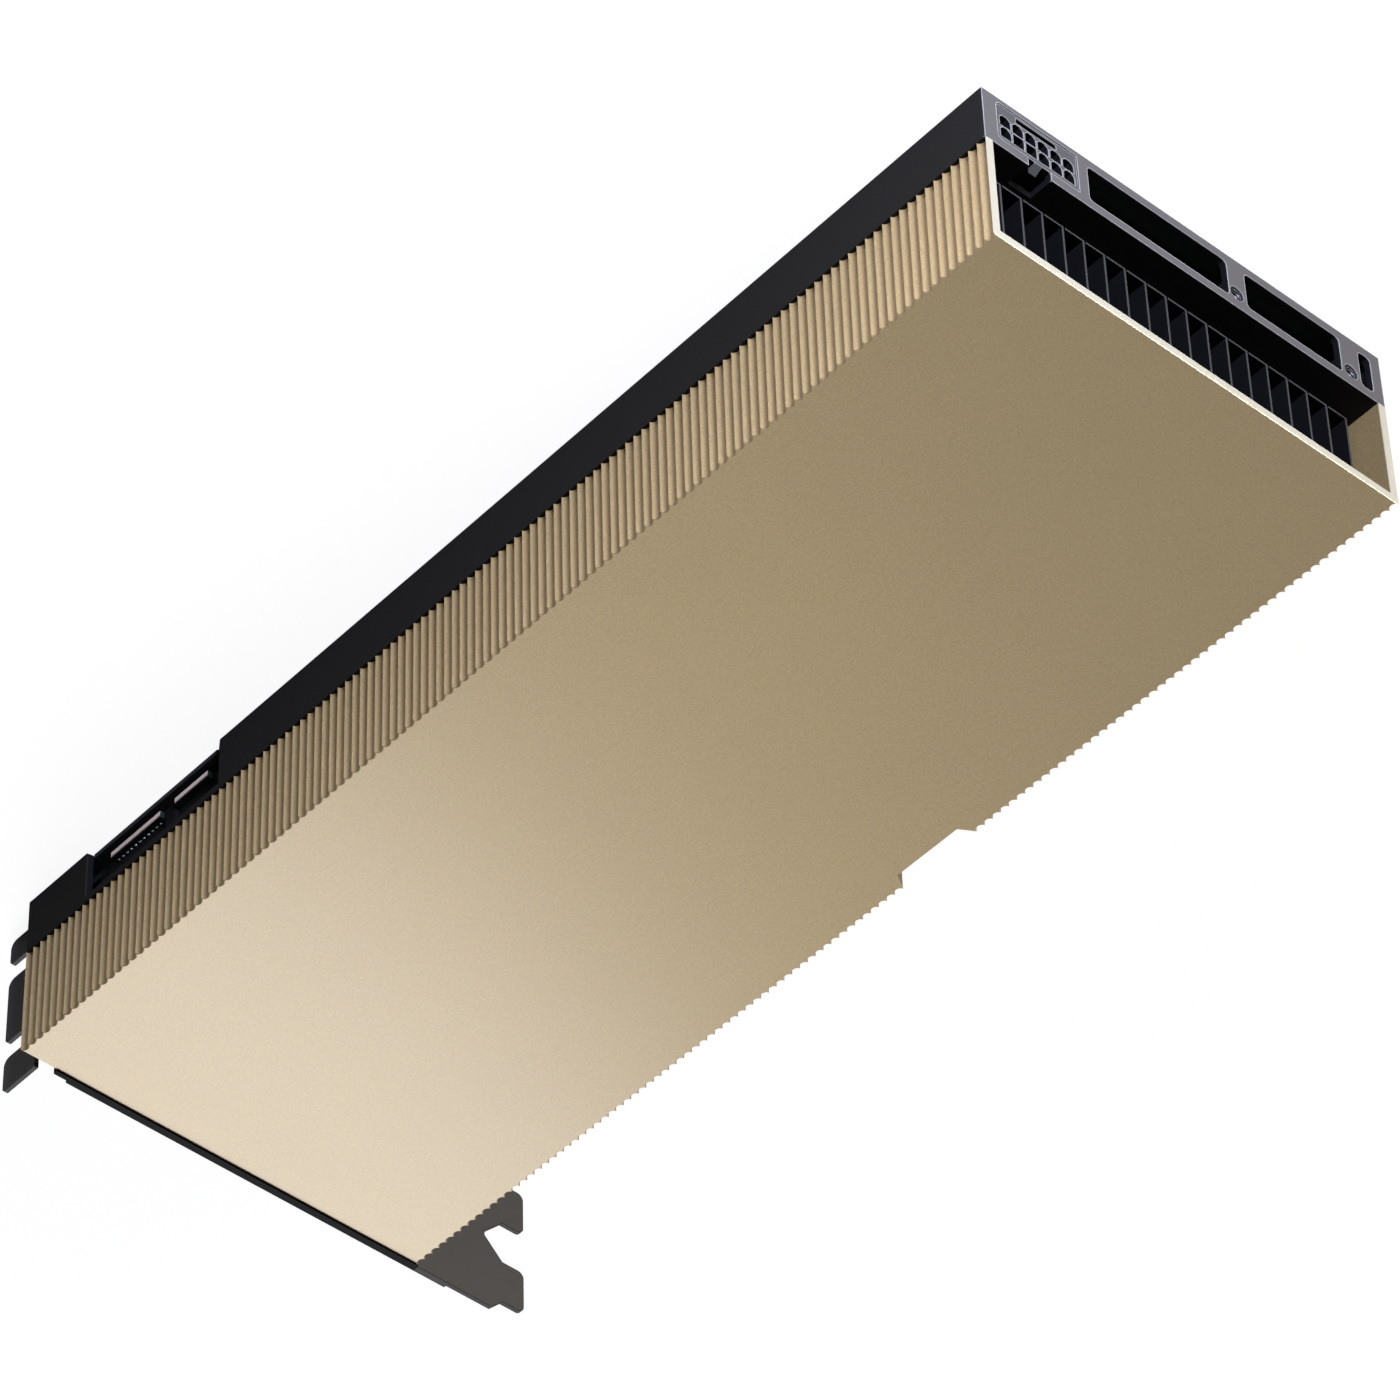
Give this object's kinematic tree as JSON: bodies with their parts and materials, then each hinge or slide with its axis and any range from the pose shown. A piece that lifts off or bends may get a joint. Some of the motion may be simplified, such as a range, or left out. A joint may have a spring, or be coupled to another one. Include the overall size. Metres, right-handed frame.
{
  "type": "passive accelerator card",
  "caption": "Double-width passive accelerator card: fluted cover over a fin duct, black frame and backplate, steel bracket and power socket.",
  "frame": {"origin": "under the middle of the whole card's bounding box, on the backplate's outer face", "axes": "+X from the bracket to the tail end with the power connector, +Y from the slot edge to the top edge, +Z from the backplate to the cover's face"},
  "size_m": [0.2784, 0.1244, 0.0385],
  "materials": {
    "champagne_aluminium": "satin",
    "black_casting": "satin",
    "black_sheet": "satin",
    "dark_fins": "satin",
    "plated_copper": "satin",
    "bracket_steel": "satin",
    "screw_steel": "satin",
    "spring_steel": "satin",
    "board_laminate": "satin",
    "package_laminate": "satin",
    "silicon": "gloss",
    "chip_moulding": "matte",
    "gap_pad": "matte",
    "grey_paste": "matte",
    "choke_ferrite": "matte",
    "can_aluminium": "satin",
    "ceramic_body": "satin",
    "clear_film": "satin",
    "black_moulding": "matte",
    "tin_contact": "satin"
  },
  "bodies": {
    "root": {"heatsink_cover": "champagne_aluminium", "fin_stack": "dark_fins", "main_frame": "black_casting", "vapour_chamber": "plated_copper", "backplate": "black_sheet", "backplate_screws": "screw_steel", "insulating_film": "clear_film", "circuit_board": "board_laminate", "bridge_cover_insert": "black_moulding", "processor_substrate": "package_laminate", "processor_stiffener": "plated_copper", "processor_die": "silicon", "thermal_paste": "grey_paste", "retention_plate": "spring_steel", "retention_screws": "screw_steel", "memory_pads": "gap_pad", "power_stages": "chip_moulding", "power_stage_pads": "gap_pad", "chokes": "choke_ferrite", "polymer_capacitors": "can_aluminium", "ceramic_capacitors": "ceramic_body", "control_chips": "chip_moulding", "input_choke": "choke_ferrite", "power_connector_housing": "black_moulding", "power_connector_pins": "tin_contact", "sense_contacts": "tin_contact", "bracket": "bracket_steel", "bracket_screws": "screw_steel", "memory_chip_01": "chip_moulding", "memory_chip_02": "chip_moulding", "memory_chip_03": "chip_moulding", "memory_chip_04": "chip_moulding", "memory_chip_05": "chip_moulding", "memory_chip_06": "chip_moulding", "memory_chip_07": "chip_moulding", "memory_chip_08": "chip_moulding", "memory_chip_09": "chip_moulding", "memory_chip_10": "chip_moulding", "memory_chip_11": "chip_moulding", "memory_chip_12": "chip_moulding"}
  },
  "joints": []
}
